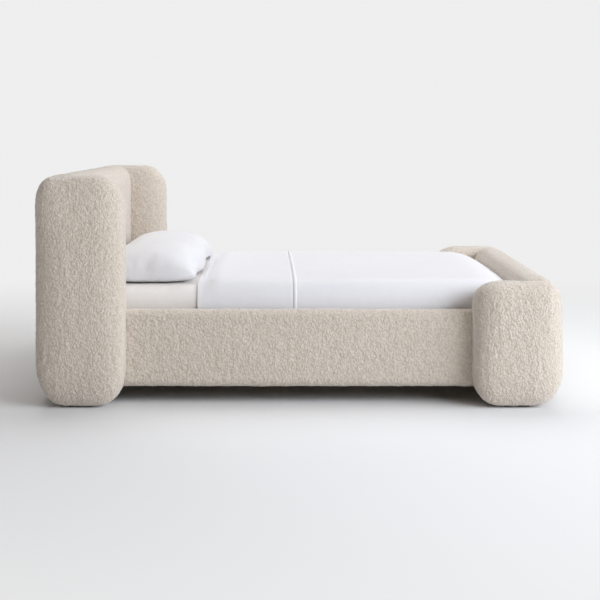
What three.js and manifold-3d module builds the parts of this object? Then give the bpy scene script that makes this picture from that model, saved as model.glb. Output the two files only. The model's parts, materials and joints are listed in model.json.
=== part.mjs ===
// An upholstered platform bed with a wraparound headboard and footboard, its mattress, bedding and pillows.
// Millimetres. +X runs from head to foot, +Y to the sleeper's left and +Z up.
// The origin is on the floor, at the centre of the bed's footprint.
//
// The headboard and the footboard are each a padded panel between two padded wings. Every padded piece is a
// shell of foam and boucle over a timber frame. Two padded rails hang between the wings on hook plates. They
// carry ledgers, and the slats lie on the ledgers and on a centre beam with three legs on screw-in feet.
import * as THREE from "three";
import { mergeVertices } from "three/addons/utils/BufferGeometryUtils.js";
import Module from "manifold-3d";

const wasm = await Module();
wasm.setup();

// Driving dimensions
const BED_LENGTH = 2490;
const MATTRESS = { length: 2032, width: 1524, height: 252, edge: 52, corner: 60 };
const SIDE_GAP = 18; // between the mattress and a rail, for the tucked bedding
const END_GAP = 30; // between the mattress and the headboard panel
const TOUCH = 0.4; // between pieces that touch
const FIT = 0.6; // between a frame and the foam round it
const OVER = 1; // how far a cutting block runs past the face that it opens

const WING_THICK = 220;
const WING_BASE = 8; // the padding stops this far above the floor
const WING_FOAM = 42;
const WING_FRAME_BASE = 30;
const WING_RIM = { outline: 90, depth: 102 }; // how far its rims round in from the outline and from each side
const WING_CORE_SLACK = 12; // the foam is thinner at a wing's corners, so its frame's corners are rounder
// radii are the corners at the outer top, inner top, inner bottom and outer bottom
const HEAD = { height: 1094, wing: 420, panel: 222, radii: [98, 142, 140, 156] };
const FOOT = { height: 594, wing: 420, panel: 184, radii: [92, 118, 118, 148] };
const PANEL_BASE = 60;
const PANEL_FOAM = 58;
const PANEL_END_FOAM = 45;
const PANEL_RADII = { top: 92, bottom: 40 };
const DUST_COVER = { thick: 1.2, inset_x: 44, inset_y: 12 };
const MEMBER = 45; // width of the timbers in the panel and wing frames

const RAIL = { thick: 92, base: 82, top: 450, inner_radius: 20, outer_radius: 34 };
const RAIL_SETBACK = 2; // the wings stand this far outside the rails' inner faces
const RAIL_FRAME = { inset: 18, thick: 48, base: 118, top: 416, wall: 14, corner: 3 };
const LEDGER = { width: 48, height: 42, end_gap: 12 };
const SLAT = { count: 12, width: 90, thick: 20, top: 300, corner: 4, end_gap: 4, first: 62 };
const BEAM = { width: 45, height: 95, end_gap: 5 };
const HANGER = { wall: 3, height: 70, reach: 52, room: 5 }; // room is round it in the foam
const LEG = { radius: 24, foot: 19, chamfer: 2, base: 10, plate: 92, plate_thick: 5, positions: [-560, 20, 600] };
const LEVELER = { disc: 21, disc_thick: 7, edge: 2, boss: 4, stud: 5, bore: 5.1, reach: 62, bore_top: 84 };
const GLIDE = { length: 118, width: 60 };
const HOOK = { width: 34, height: 200, thick: 4, drop: 26, slot_gap: 1.5, below: 6, above: 8, at: [-58, 58] };

const SHEET = 1.3;
const TUCK = 6; // the fitted sheet ends this far above the mattress's lower rim
const DUVET = { start: -492, top: 30, side: 10, foot: 14, hang: 350, corner: 10, round: 12 };
const CUFF = { end: -8, thick: 2.4 };
const PILLOW = { length: 690, width: 500, height: 190, edge: 84, corner: 96, gap: 20, aisle: 18 };

// Places that follow from them
const HEAD_X = -BED_LENGTH / 2;
const FOOT_X = BED_LENGTH / 2;
const PANEL_FRONT_X = HEAD_X + HEAD.panel;
const FOOT_PANEL_X = FOOT_X - FOOT.panel;
const RAIL_INNER_Y = MATTRESS.width / 2 + SIDE_GAP;
const WING_INNER_Y = RAIL_INNER_Y + RAIL_SETBACK;
const WING_CENTRE_Y = WING_INNER_Y + WING_THICK / 2;
const RAIL_START_X = HEAD_X + HEAD.wing;
const RAIL_END_X = FOOT_X - FOOT.wing;
const RAIL_FRAME_Y = RAIL_INNER_Y + RAIL_FRAME.inset + RAIL_FRAME.thick / 2;
const HOOK_Y = (WING_INNER_Y + WING_FOAM + RAIL_INNER_Y + RAIL_FRAME.inset + RAIL_FRAME.thick) / 2;
const SLAT_BASE = SLAT.top - SLAT.thick;
const MATTRESS_X = PANEL_FRONT_X + END_GAP + MATTRESS.length / 2;
const MATTRESS_BASE = SLAT.top + TOUCH;
const MATTRESS_TOP = MATTRESS_BASE + MATTRESS.height;

const fabric = (colour, roughness) => new THREE.MeshStandardMaterial({ color: colour, roughness, metalness: 0 });
const material = {
  boucle: fabric(0xd8cdbd, 0.96),
  plywood: fabric(0xc9a877, 0.7),
  timber: fabric(0xd9bd8e, 0.65),
  steel: new THREE.MeshStandardMaterial({ color: 0x2b2c2e, roughness: 0.45, metalness: 0.8 }),
  plastic: fabric(0x17171a, 0.5),
  cambric: fabric(0x1b1b1c, 0.95),
  ticking: fabric(0xe9e6e0, 0.85),
  fitted_sheet: fabric(0xf1ece5, 0.9),
  white_cotton: fabric(0xf7f7f9, 0.88),
};

const bed = new THREE.Group();
const SIDES = [
  { name: "left", sign: 1 },
  { name: "right", sign: -1 },
];

function add(name, finish, geometry, x = 0, y = 0, z = 0) {
  const mesh = new THREE.Mesh(geometry, finish);
  mesh.name = name;
  mesh.position.set(x, y, z);
  bed.add(mesh);
}

// Solids for cutting and joining

const SMALLEST_RADIUS = 2;
const CUT_REACH = 2000; // half the length of a block that cuts the whole bed
const CUT_WIDTH = 1000;
const CUT_DEPTH = 40; // how far a shape that only cuts or is cut runs down past another

function solid(geometry) {
  const bare = (geometry.index ? geometry.toNonIndexed() : geometry.clone());
  bare.deleteAttribute("normal");
  bare.deleteAttribute("uv");
  const merged = mergeVertices(bare, 1e-3);
  return new wasm.Manifold(
    new wasm.Mesh({
      numProp: 3,
      vertProperties: merged.attributes.position.array,
      triVerts: new Uint32Array(merged.index.array),
    }),
  );
}

function geometryOf(made) {
  const mesh = made.getMesh();
  const geometry = new THREE.BufferGeometry();
  geometry.setAttribute("position", new THREE.BufferAttribute(mesh.vertProperties, 3));
  geometry.setIndex(new THREE.BufferAttribute(mesh.triVerts, 1));
  geometry.computeVertexNormals();
  return geometry;
}

const cut = (base, ...tools) => geometryOf(tools.reduce((s, t) => s.subtract(solid(t)), solid(base)));
const join = (...pieces) => geometryOf(pieces.slice(1).reduce((s, p) => s.add(solid(p)), solid(pieces[0])));

// A box from its lowest to its highest corner.
function block([x0, x1], [y0, y1], [z0, z1]) {
  return new THREE.BoxGeometry(x1 - x0, y1 - y0, z1 - z0).translate((x0 + x1) / 2, (y0 + y1) / 2, (z0 + z1) / 2);
}

// A rectangle's outline with its own radius at each corner: top left, top right, bottom right and bottom left.
function outline([u0, u1], [v0, v1], radii) {
  const [tl, tr, br, bl] = typeof radii === "number" ? [radii, radii, radii, radii] : radii;
  const shape = new THREE.Shape();
  shape.moveTo(u0 + bl, v0);
  shape.lineTo(u1 - br, v0);
  shape.absarc(u1 - br, v0 + br, br, -Math.PI / 2, 0);
  shape.lineTo(u1, v1 - tr);
  shape.absarc(u1 - tr, v1 - tr, tr, 0, Math.PI / 2);
  shape.lineTo(u0 + tl, v1);
  shape.absarc(u0 + tl, v1 - tl, tl, Math.PI / 2, Math.PI);
  shape.lineTo(u0, v0 + bl);
  shape.absarc(u0 + bl, v0 + bl, bl, Math.PI, Math.PI * 1.5);
  return shape;
}

// An outline drawn in X and Z, thick along Y and centred on Y = 0, with its rims rounded by `round` across the
// outline and by `depth` along Y.
function slab([x0, x1], [z0, z1], radii, thick, round = 0, depth = round) {
  const shape = outline(
    [x0 + round, x1 - round],
    [z0 + round, z1 - round],
    radii.map((r) => Math.max(r - round, SMALLEST_RADIUS)),
  );
  const geometry = new THREE.ExtrudeGeometry(shape, {
    depth: thick - 2 * depth,
    curveSegments: 5,
    bevelEnabled: round > 0,
    bevelSize: round,
    bevelThickness: depth,
    bevelSegments: 4,
  });
  return geometry.translate(0, 0, depth - thick / 2).rotateX(Math.PI / 2);
}

// An outline drawn in Y and Z, extruded from x0 to x1.
function bar(shape, [x0, x1]) {
  const geometry = new THREE.ExtrudeGeometry(shape, { depth: x1 - x0, curveSegments: 4, bevelEnabled: false });
  return geometry.applyMatrix4(
    new THREE.Matrix4().set(0, 0, 1, x0, 1, 0, 0, 0, 0, 1, 0, 0, 0, 0, 0, 1),
  );
}

// A cushion or mattress shape: a rounded rectangle in X and Y, with its top and bottom rims rounded.
function pad([x0, x1], [y0, y1], [z0, z1], corner, round, depth = round) {
  const shape = outline([x0 + round, x1 - round], [y0 + round, y1 - round], Math.max(corner - round, 4));
  const geometry = new THREE.ExtrudeGeometry(shape, {
    depth: z1 - z0 - 2 * depth,
    curveSegments: 3,
    bevelSize: round,
    bevelThickness: depth,
    bevelSegments: 3,
  });
  return geometry.translate(0, 0, z0 + depth);
}

// The openings between the timbers of a frame, in equal columns and rows, as blocks for cutting.
// `place` makes the block from its span across and its span up.
function windows([u0, u1], [v0, v1], columns, rows, place) {
  const width = (u1 - u0 - MEMBER * (columns + 1)) / columns;
  const height = (v1 - v0 - MEMBER * (rows + 1)) / rows;
  const openings = [];
  for (let column = 0; column < columns; column++) {
    for (let row = 0; row < rows; row++) {
      const u = u0 + MEMBER + column * (width + MEMBER);
      const v = v0 + MEMBER + row * (height + MEMBER);
      openings.push(place([u, u + width], [v, v + height]));
    }
  }
  return openings;
}

// The hollow of a wing, and the slab that fills it: the wing's own outline, smaller by the foam.
function wingCore(end, reach, grow) {
  const inset = WING_FOAM - grow;
  const radii = end.radii.map((r) => r - WING_FOAM + WING_CORE_SLACK);
  const across = (reach === 1 ? [0, end.wing] : [-end.wing, 0]).map((x, side) => x + (side ? -inset : inset));
  return slab(
    across,
    [WING_FRAME_BASE - grow, end.height - inset],
    reach === 1 ? radii : [radii[1], radii[0], radii[3], radii[2]],
    WING_THICK - 2 * (WING_FOAM - grow),
  );
}

// One end's two wings. `reach` is +1 at the head, whose wings reach towards +X, and -1 at the foot.
function addWings(label, end, x, reach, rows) {
  const across = reach === 1 ? [0, end.wing] : [-end.wing, 0];
  const radii = reach === 1 ? end.radii : [end.radii[1], end.radii[0], end.radii[3], end.radii[2]];
  const middle = (reach * end.wing) / 2;
  const front = reach * end.wing;
  const frameSpan = [across[0] + WING_FOAM, across[1] - WING_FOAM];
  const glideSpan = [middle - GLIDE.length / 2, middle + GLIDE.length / 2];
  for (const { name, sign } of SIDES) {
    const y = sign * WING_CENTRE_Y;
    const mouth = [front - reach * (WING_FOAM + OVER), front + reach * OVER].sort((a, b) => a - b);
    const pocketY = [RAIL_FRAME_Y - RAIL_FRAME.thick / 2 - FIT, HOOK_Y + HOOK.width / 2 + FIT]
      .map((edge) => sign * (edge - WING_CENTRE_Y))
      .sort((a, b) => a - b);
    const padding = cut(
      slab(across, [WING_BASE, end.height], radii, WING_THICK, WING_RIM.outline, WING_RIM.depth),
      wingCore(end, reach, FIT),
      block(mouth, pocketY, [RAIL_FRAME.base - FIT, RAIL_FRAME.top + FIT]),
      block(
        [glideSpan[0] - FIT, glideSpan[1] + FIT],
        [-GLIDE.width / 2 - FIT, GLIDE.width / 2 + FIT],
        [WING_BASE - OVER, WING_FRAME_BASE],
      ),
    );
    add(`${label}_${name}_wing_cover`, material.boucle, padding, x, y);
    const openings = windows(frameSpan, [WING_FRAME_BASE, end.height - WING_FOAM], 1, rows, (u, v) =>
      block(u, [-WING_THICK, WING_THICK], v),
    );
    add(`${label}_${name}_wing_frame`, material.plywood, cut(wingCore(end, reach, 0), ...openings), x, y);
    const glide = block(glideSpan, [-GLIDE.width / 2, GLIDE.width / 2], [0, WING_FRAME_BASE - TOUCH]);
    add(`${label}_${name}_glide`, material.plastic, glide, x, y);
  }
}

// The padded panel between one end's wings, over its stud frame, with a hanger for the centre beam.
function addPanel(label, end, x, reach, rows) {
  const half = WING_INNER_Y - TOUCH;
  const face = reach * end.panel;
  const [x0, x1] = reach === 1 ? [0, end.panel] : [-end.panel, 0];
  const frameX = [x0 + PANEL_FOAM, x1 - PANEL_FOAM];
  const frameY = [-half + PANEL_END_FOAM, half - PANEL_END_FOAM];
  const frameZ = [PANEL_BASE + 1, end.height - PANEL_FOAM];
  const { top, bottom } = PANEL_RADII;
  const profile = outline([x0, x1], [PANEL_BASE, end.height], [top, top, bottom, bottom]);
  const padded = new THREE.ExtrudeGeometry(profile, { depth: 2 * half, curveSegments: 8, bevelEnabled: false })
    .translate(0, 0, -half)
    .rotateX(Math.PI / 2);
  const beamHole = block(
    [face - reach * (PANEL_FOAM + OVER), face + reach * OVER].sort((a, b) => a - b),
    [-BEAM.width / 2 - HANGER.room, BEAM.width / 2 + HANGER.room],
    [SLAT_BASE - BEAM.height - HANGER.room - 1, SLAT_BASE + 2],
  );
  const hollow = block(
    [frameX[0] - FIT, frameX[1] + FIT],
    [frameY[0] - FIT, frameY[1] + FIT],
    [PANEL_BASE - OVER, frameZ[1] + FIT],
  );
  add(`${label}_panel_cover`, material.boucle, cut(padded, hollow, beamHole), x);

  const openings = windows(frameY, frameZ, 5, rows, (u, v) => block([-end.panel, end.panel], u, v));
  add(`${label}_panel_frame`, material.timber, cut(block(frameX, frameY, frameZ), ...openings), x);

  const skirt = block(
    [x0 + DUST_COVER.inset_x, x1 - DUST_COVER.inset_x],
    [-half + DUST_COVER.inset_y, half - DUST_COVER.inset_y],
    [PANEL_BASE - TOUCH - DUST_COVER.thick, PANEL_BASE - TOUCH],
  );
  add(`${label}_dust_cover`, material.cambric, skirt, x);

  const inner = BEAM.width / 2 + TOUCH;
  const wall = HANGER.wall;
  const base = SLAT_BASE - BEAM.height - TOUCH;
  const rim = base + HANGER.height;
  const stirrup = new THREE.Shape([
    new THREE.Vector2(-inner - wall, base - wall),
    new THREE.Vector2(inner + wall, base - wall),
    new THREE.Vector2(inner + wall, rim),
    new THREE.Vector2(inner, rim),
    new THREE.Vector2(inner, base),
    new THREE.Vector2(-inner, base),
    new THREE.Vector2(-inner, rim),
    new THREE.Vector2(-inner - wall, rim),
  ]);
  const back = face - reach * (PANEL_FOAM - TOUCH);
  const run = [back, back + reach * HANGER.reach].sort((a, b) => a - b);
  const plate = block(
    [back, back + reach * wall].sort((a, b) => a - b),
    [-inner - wall, inner + wall],
    [base - wall, rim],
  );
  add(`${label}_beam_hanger`, material.steel, join(bar(stirrup, run), plate), x);
}

// A padded side rail: its foam and boucle shell, its box frame and the ledger that carries the slats.
function addRail({ name, sign }) {
  const frameEnds = [RAIL_START_X - WING_FOAM + HOOK.thick * 2 + 1, RAIL_END_X + WING_FOAM - HOOK.thick * 2 - 1];
  const mirrored = (values) => values.map((v) => v * sign).sort((a, b) => a - b);
  const acrossY = mirrored([RAIL_INNER_Y, RAIL_INNER_Y + RAIL.thick]);
  const frameY = mirrored([RAIL_FRAME_Y - RAIL_FRAME.thick / 2, RAIL_FRAME_Y + RAIL_FRAME.thick / 2]);
  const radii = [RAIL.inner_radius, RAIL.outer_radius, RAIL.outer_radius, RAIL.inner_radius];
  const sideRadii = sign === 1 ? radii : [radii[1], radii[0], radii[3], radii[2]];
  const section = outline(acrossY, [RAIL.base, RAIL.top], sideRadii);
  const ends = [RAIL_START_X + TOUCH, RAIL_END_X - TOUCH];
  const frameFace = RAIL_INNER_Y + RAIL_FRAME.inset;
  const ledgerY = mirrored([frameFace - TOUCH, frameFace - LEDGER.width]);
  const ledgerX = [RAIL_START_X + LEDGER.end_gap, RAIL_END_X - LEDGER.end_gap];
  const ledgerZ = [SLAT_BASE - LEDGER.height, SLAT_BASE - TOUCH];
  const slot = [
    [ledgerX[0] - FIT, ledgerX[1] + FIT],
    [ledgerY[0] - OVER, ledgerY[1] + OVER],
    [ledgerZ[0] - FIT, ledgerZ[1] + FIT],
  ];
  const shell = cut(
    bar(section, ends),
    block(
      [ends[0] - OVER, ends[1] + OVER],
      [frameY[0] - FIT, frameY[1] + FIT],
      [RAIL_FRAME.base - FIT, RAIL_FRAME.top + FIT],
    ),
    block(...slot),
  );
  add(`${name}_rail_cover`, material.boucle, shell);

  const box = outline(frameY, [RAIL_FRAME.base, RAIL_FRAME.top], RAIL_FRAME.corner);
  const wall = RAIL_FRAME.wall;
  const hole = outline(
    [frameY[0] + wall, frameY[1] - wall],
    [RAIL_FRAME.base + wall, RAIL_FRAME.top - wall],
    RAIL_FRAME.corner,
  );
  box.holes = [hole];
  add(`${name}_rail_frame`, material.plywood, bar(box, frameEnds));
  add(`${name}_ledger`, material.timber, block(ledgerX, ledgerY, ledgerZ));
}

// The hook plate on a rail's end and the slotted plate it drops into, on the wing's frame.
function addRailConnector(label, x, reach, { name, sign }) {
  const y = sign * HOOK_Y;
  const z = (RAIL_FRAME.base + RAIL_FRAME.top) / 2;
  const plate = (from) =>
    block(
      [from, from + reach * HOOK.thick].sort((a, b) => a - b),
      [-HOOK.width / 2, HOOK.width / 2],
      [-HOOK.height / 2, HOOK.height / 2],
    );
  const faceX = x - reach * WING_FOAM; // the wing frame's front face
  const slotPlate = plate(reach * TOUCH);
  const slots = HOOK.at.map((at) =>
    block(
      [-HOOK.height, HOOK.height],
      [-HOOK.thick / 2 - HOOK.slot_gap, HOOK.thick / 2 + HOOK.slot_gap],
      [at - HOOK.drop - HOOK.below, at + HOOK.drop / 2 + HOOK.above],
    ),
  );
  add(`${label}_${name}_slot_plate`, material.steel, cut(slotPlate, ...slots), faceX, y, z);

  // Each hook is a tongue through the slot.
  const hookPlate = plate(reach * (TOUCH * 2 + HOOK.thick));
  const tongues = HOOK.at.map((at) =>
    block(
      [reach * TOUCH * 1.5, reach * (TOUCH * 2 + HOOK.thick + OVER)].sort((a, b) => a - b),
      [-HOOK.thick / 2, HOOK.thick / 2],
      [at - HOOK.drop, at + HOOK.drop / 2],
    ),
  );
  add(`${label}_${name}_hook_plate`, material.steel, join(hookPlate, ...tongues), faceX, y, z);
}

function addSlats() {
  const first = PANEL_FRONT_X + SLAT.first;
  const last = FOOT_PANEL_X - SLAT.first;
  const half = RAIL_INNER_Y - SLAT.end_gap;
  for (let i = 0; i < SLAT.count; i++) {
    const x = first + ((last - first) * i) / (SLAT.count - 1);
    const section = outline([-SLAT.width / 2, SLAT.width / 2], [SLAT_BASE, SLAT.top], SLAT.corner);
    const slat = new THREE.ExtrudeGeometry(section, { depth: 2 * half, curveSegments: 2, bevelEnabled: false })
      .translate(0, 0, -half)
      .rotateX(Math.PI / 2);
    add(`slat_${String(i + 1).padStart(2, "0")}`, material.timber, slat, x);
  }
}

function addCentreBeam() {
  const ends = [PANEL_FRONT_X - PANEL_FOAM + BEAM.end_gap, FOOT_PANEL_X + PANEL_FOAM - BEAM.end_gap];
  const top = SLAT_BASE - TOUCH;
  const base = SLAT_BASE - BEAM.height;
  add("centre_beam", material.timber, block(ends, [-BEAM.width / 2, BEAM.width / 2], [base, top]));

  const plateTop = base - TOUCH;
  const postTop = plateTop - LEG.plate_thick + 1;
  const round = (points) => {
    const profile = points.map(([r, z]) => new THREE.Vector2(r, z));
    return new THREE.LatheGeometry(profile, 20).rotateX(Math.PI / 2);
  };
  const post = round([
    [0, LEVELER.bore_top],
    [LEVELER.bore, LEVELER.bore_top],
    [LEVELER.bore, LEG.base],
    [LEG.foot, LEG.base],
    [LEG.foot + LEG.chamfer, LEG.base + LEG.chamfer],
    [LEG.radius, postTop],
    [0, postTop],
  ]);
  const half = LEG.plate / 2;
  const plate = block([-half, half], [-half / 2, half / 2], [plateTop - LEG.plate_thick, plateTop]);
  const foot = round([
    [0, 0],
    [LEVELER.disc - LEVELER.edge, 0],
    [LEVELER.disc, LEVELER.edge],
    [LEVELER.disc, LEVELER.disc_thick - LEVELER.edge],
    [LEVELER.stud + LEVELER.boss, LEVELER.disc_thick],
    [LEVELER.stud, LEVELER.disc_thick + 1],
    [LEVELER.stud, LEVELER.reach],
    [0, LEVELER.reach],
  ]);
  LEG.positions.forEach((x, i) => {
    add(`centre_leg_${i + 1}`, material.steel, join(post, plate), x);
    add(`leveling_foot_${i + 1}`, material.plastic, foot.clone(), x);
  });
}

// The mattress's own shape, grown on every side but the bottom.
function mattressShape(grow, base = MATTRESS_BASE) {
  const halfLength = MATTRESS.length / 2 + grow;
  const halfWidth = MATTRESS.width / 2 + grow;
  return pad(
    [-halfLength, halfLength],
    [-halfWidth, halfWidth],
    [base, MATTRESS_TOP + grow],
    MATTRESS.corner + grow,
    MATTRESS.edge + grow / 2,
  );
}

function addBedding() {
  const wide = [-CUT_WIDTH, CUT_WIDTH];
  const below = block([-CUT_REACH, CUT_REACH], wide, [0, MATTRESS_BASE + MATTRESS.edge + TUCK]);
  add("mattress", material.ticking, mattressShape(0), MATTRESS_X);
  const sheet = cut(mattressShape(TOUCH + SHEET, MATTRESS_BASE - CUT_DEPTH), mattressShape(TOUCH), below);
  add("fitted_sheet", material.fitted_sheet, sheet, MATTRESS_X);

  const inner = SHEET + 2 * TOUCH;
  const keep = (from, to) => [
    block([-CUT_REACH, from], wide, [0, CUT_WIDTH]),
    block([to, CUT_REACH], wide, [0, CUT_WIDTH]),
    block([-CUT_REACH, CUT_REACH], wide, [0, DUVET.hang]),
  ];
  const start = DUVET.start - MATTRESS_X;
  const quilt = (grow) =>
    pad(
      [start - 5 * CUT_DEPTH, MATTRESS.length / 2 + inner + DUVET.foot + grow],
      [-MATTRESS.width / 2 - inner - DUVET.side - grow, MATTRESS.width / 2 + inner + DUVET.side + grow],
      [MATTRESS_BASE - 1.5 * CUT_DEPTH, MATTRESS_TOP + inner + DUVET.top + grow],
      MATTRESS.corner + DUVET.corner,
      MATTRESS.edge + DUVET.round + grow / 2,
    );
  const duvet = cut(quilt(0), mattressShape(inner, MATTRESS_BASE - 2 * CUT_DEPTH), ...keep(start, CUT_WIDTH * 1.5));
  add("duvet", material.white_cotton, duvet, MATTRESS_X);
  const cuff = cut(quilt(TOUCH + CUFF.thick), quilt(TOUCH), ...keep(start, CUFF.end - MATTRESS_X));
  add("top_sheet_cuff", material.white_cotton, cuff, MATTRESS_X);

  const base = MATTRESS_TOP + inner;
  const pillowX = PANEL_FRONT_X + PILLOW.gap;
  for (const { name, sign } of SIDES) {
    const across = [sign * PILLOW.aisle, sign * (PILLOW.aisle + PILLOW.length)].sort((a, b) => a - b);
    const cushion = pad(
      [pillowX, pillowX + PILLOW.width],
      across,
      [base, base + PILLOW.height],
      PILLOW.corner,
      PILLOW.edge,
      PILLOW.height / 2 - 1,
    );
    add(`${name}_pillow`, material.white_cotton, cushion);
  }
}

addWings("headboard", HEAD, HEAD_X, 1, 4);
addPanel("headboard", HEAD, HEAD_X, 1, 4);
addWings("footboard", FOOT, FOOT_X, -1, 2);
addPanel("footboard", FOOT, FOOT_X, -1, 2);
for (const side of SIDES) {
  addRail(side);
  addRailConnector("head", RAIL_START_X, 1, side);
  addRailConnector("foot", RAIL_END_X, -1, side);
}
addSlats();
addCentreBeam();
addBedding();

export default bed;
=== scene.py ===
"""The looks of the upholstered bed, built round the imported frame: its covers, bedding, wood and steel."""
import json
import math

import bpy
import bmesh
import numpy as np
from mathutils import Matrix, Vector
from mathutils.bvhtree import BVHTree


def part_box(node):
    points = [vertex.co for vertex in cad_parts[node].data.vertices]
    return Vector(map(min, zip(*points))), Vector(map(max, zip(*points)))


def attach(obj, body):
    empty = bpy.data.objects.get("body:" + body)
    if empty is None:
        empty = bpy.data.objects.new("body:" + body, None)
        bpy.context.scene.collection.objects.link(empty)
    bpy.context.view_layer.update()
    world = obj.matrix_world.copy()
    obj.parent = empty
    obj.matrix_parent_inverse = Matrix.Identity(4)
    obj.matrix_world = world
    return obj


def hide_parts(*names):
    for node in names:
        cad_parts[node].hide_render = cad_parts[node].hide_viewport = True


# Camera: a long lens a little above the pillows, square on to the bed's side
CAMERA_PLACE = (0.030, -6.825, 1.308)
CAMERA_PITCH = math.radians(2.8)
LENS_MM = 75.4
SENSOR_MM = 36.0
SHIFT_X = -0.008
SHIFT_Y = -0.18

# Studio: the backdrop's brightness, the sky's at the horizon and overhead, and the soft boxes
BACKDROP = 0.86
SKY_LOW, SKY_HIGH = 0.0, 0.50
SKY_LEFT = 0.45  # how much darker the sky is on the headboard's side
SKY_COLOUR = (1.0, 0.93, 0.86)
SOFT_BOXES = [  # name, place, aim, width and height, watts, colour
    ("key", (5.9, -4.3, 3.2), (-0.1, 0.0, 0.4), (6.4, 3.8), 515.0, (0.95, 1.0, 1.07)),
    ("overhead", (0.3, 2.4, 5.2), (0.3, 0.6, 0.0), (7.0, 5.0), 212.0, (0.99, 1.0, 1.02)),
]

# The boucle's relief, cut into the covers themselves: size across and height of what stands out
NUB_SIZE, NUB_LIFT = 0.019, 0.0013
LOOP_SIZE, LOOP_LIFT = 0.0115, 0.0010
HOLLOW_SIZE, HOLLOW_LIFT = 0.16, 0.0020  # the broad unevenness of the padding
WARP_SIZE, WARP_REACH = 0.020, 0.006
RELIEF_HEIGHT = 0.72  # squeezes the pattern's height, which makes the nubs taller than wide

# The boucle's finer pattern, in its material
CURL_SCALE = 135.0
NUB_SCALE = 108.0
NUB_FALL = 1.35  # how fast a nub falls off from its middle
NUB_SOFTNESS = 0.25
STRAY_SCALE, FUZZ_SCALE, BROAD_SCALE = 110, 430, 2.6
CURL_HEIGHT = 0.74  # as RELIEF_HEIGHT
CURL_STRAY = 0.006
CURL_RELIEF = 0.0057
NUB_SHARE, CURL_SHARE, FUZZ_SHARE, BROAD_SHARE = 0.40, 0.55, 0.12, 0.30
# The yarn's tones by height: painted shade in the low ground between the nubs, the yarn's own tone in
# between, and a painted highlight on the nub tops
BOUCLE_HOLLOW_SHADE = (0.57, 0.485, 0.40)
BOUCLE_MID = (0.675, 0.60, 0.52)
BOUCLE_TOP_HIGHLIGHT = (0.78, 0.72, 0.65)
BOUCLE_BROAD = (0.655, 0.585, 0.505)
BOUCLE_STOPS = (0.28, 0.50, 0.78)  # heights that take the dark, middle and light tone

# Light and dark tones of the linens, and of the woods with the axis that their grain runs along
LINENS = {
    "bed_linen": ((0.84, 0.835, 0.86), (0.81, 0.805, 0.83)),
    "fitted_sheet": ((0.885, 0.855, 0.83), (0.855, 0.825, 0.80)),
    "pillowcase": ((0.765, 0.76, 0.78), (0.74, 0.735, 0.755)),
    "ticking": ((0.82, 0.80, 0.76), (0.76, 0.74, 0.70)),
}
WOODS = {
    "slat_wood": ((0.70, 0.55, 0.36), (0.52, 0.37, 0.21), "Y"),
    "timber": ((0.66, 0.50, 0.32), (0.48, 0.33, 0.19), "X"),
    "plywood": ((0.60, 0.45, 0.28), (0.44, 0.30, 0.17), "Z"),
}
LINEN_RELIEF, WEAVE_RELIEF, WEAVE_SCALE = 0.0096, 0.0004, 260.0
# Dark and light tones of the black parts
STEEL_TONES = ((0.018, 0.018, 0.020), (0.045, 0.045, 0.048))
PLASTIC_TONES = ((0.012, 0.012, 0.013), (0.03, 0.03, 0.031))
CAMBRIC_TONES = ((0.012, 0.012, 0.013), (0.05, 0.05, 0.052))
FLOOR_TONES = ((0.84, 0.85, 0.862), (0.86, 0.87, 0.882))

# The wings
WING_STEP = 0.0046
NUB_ROOM = 0.003  # they are drawn this much small, so that their nubs end at the true size
SOFT_POWER = 2.5  # the power of their rounded edges: 2 is an ellipse, and more is fuller
WING_EASE = {"head": (0.002, 0.006), "foot": (0.0, 0.005)}  # how far the foam swells to +x at either side
WING_WAIST = {"head": 0.075, "foot": 0.025}  # how much wider the outer edges round off at half height
WAIST_START, WAIST_REACH = 0.08, 0.26  # shares of the height over which the waist grows, from either end
WING_SOLE = 0.065  # how far the wings round off across their thickness at the floor
WING_RIDGE = 0.006  # half the width that stays flat along the top
WING_SWELL_Y, WING_SWELL_Z = 0.005, 0.004
# (x, z) radii of their corners: inner top, outer top, inner base, outer base
WING_CORNERS = {
    "head": ((0.165, 0.178), (0.100, 0.145), (0.150, 0.190), (0.145, 0.270)),
    "foot": ((0.170, 0.104), (0.100, 0.125), (0.130, 0.170), (0.165, 0.190)),
}

# The panels and rails
PANEL_STEP = 0.0085
PANEL_RIDGE = 0.002
PANEL_BASE_RADIUS = 0.04
PANEL_END_RADIUS = 0.020
PANEL_SWELL = 0.006
RAIL_STEP = 0.0056
RAIL_INNER_RADIUS, RAIL_OUTER_RADIUS, RAIL_END_RADIUS = 0.020, 0.040, 0.004
RAIL_TUCK = 0.003  # how deep the rails' ends sink into the wings
RAIL_BLEND = 0.060  # the length of rail that is drawn out to meet them
WING_EDGE = 0.03  # the wings' surface is looked up at least this far inside their sides

# How much of each padded piece is stuffing
COVER_FILL, MATTRESS_FILL, DUVET_FILL, PILLOW_STUFFING = 0.95, 1.0, 0.35, 0.6

# The mattress and the fitted sheet
MATTRESS_EDGE = 0.070
MATTRESS_SOLE = 0.040  # the height over which the edge rounds off at the base
MATTRESS_STEP = 0.014
FOOT_ROUND = 0.130  # how far from its foot end the mattress starts to round off
QUILTING, QUILTING_DEPTH, QUILTING_POWER = 0.16, 0.004, 0.4  # spacing, depth and roundness of the diamonds
FACE = 0.9  # an upward share of the normal above this is a flat face
SHEET_STEP = 0.0125
SHEET_GAP, SHEET_LIFT, SHEET_THICK = 0.0022, 0.0012, 0.0012
SHEET_TUCK = 0.045  # how far above the mattress's base the sheet ends
SHEET_CREASES = [(0.11, 0.0012, 31), (0.045, 0.0006, 32, (1, 1, 0.5))]  # size, height, seed and stretch

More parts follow.
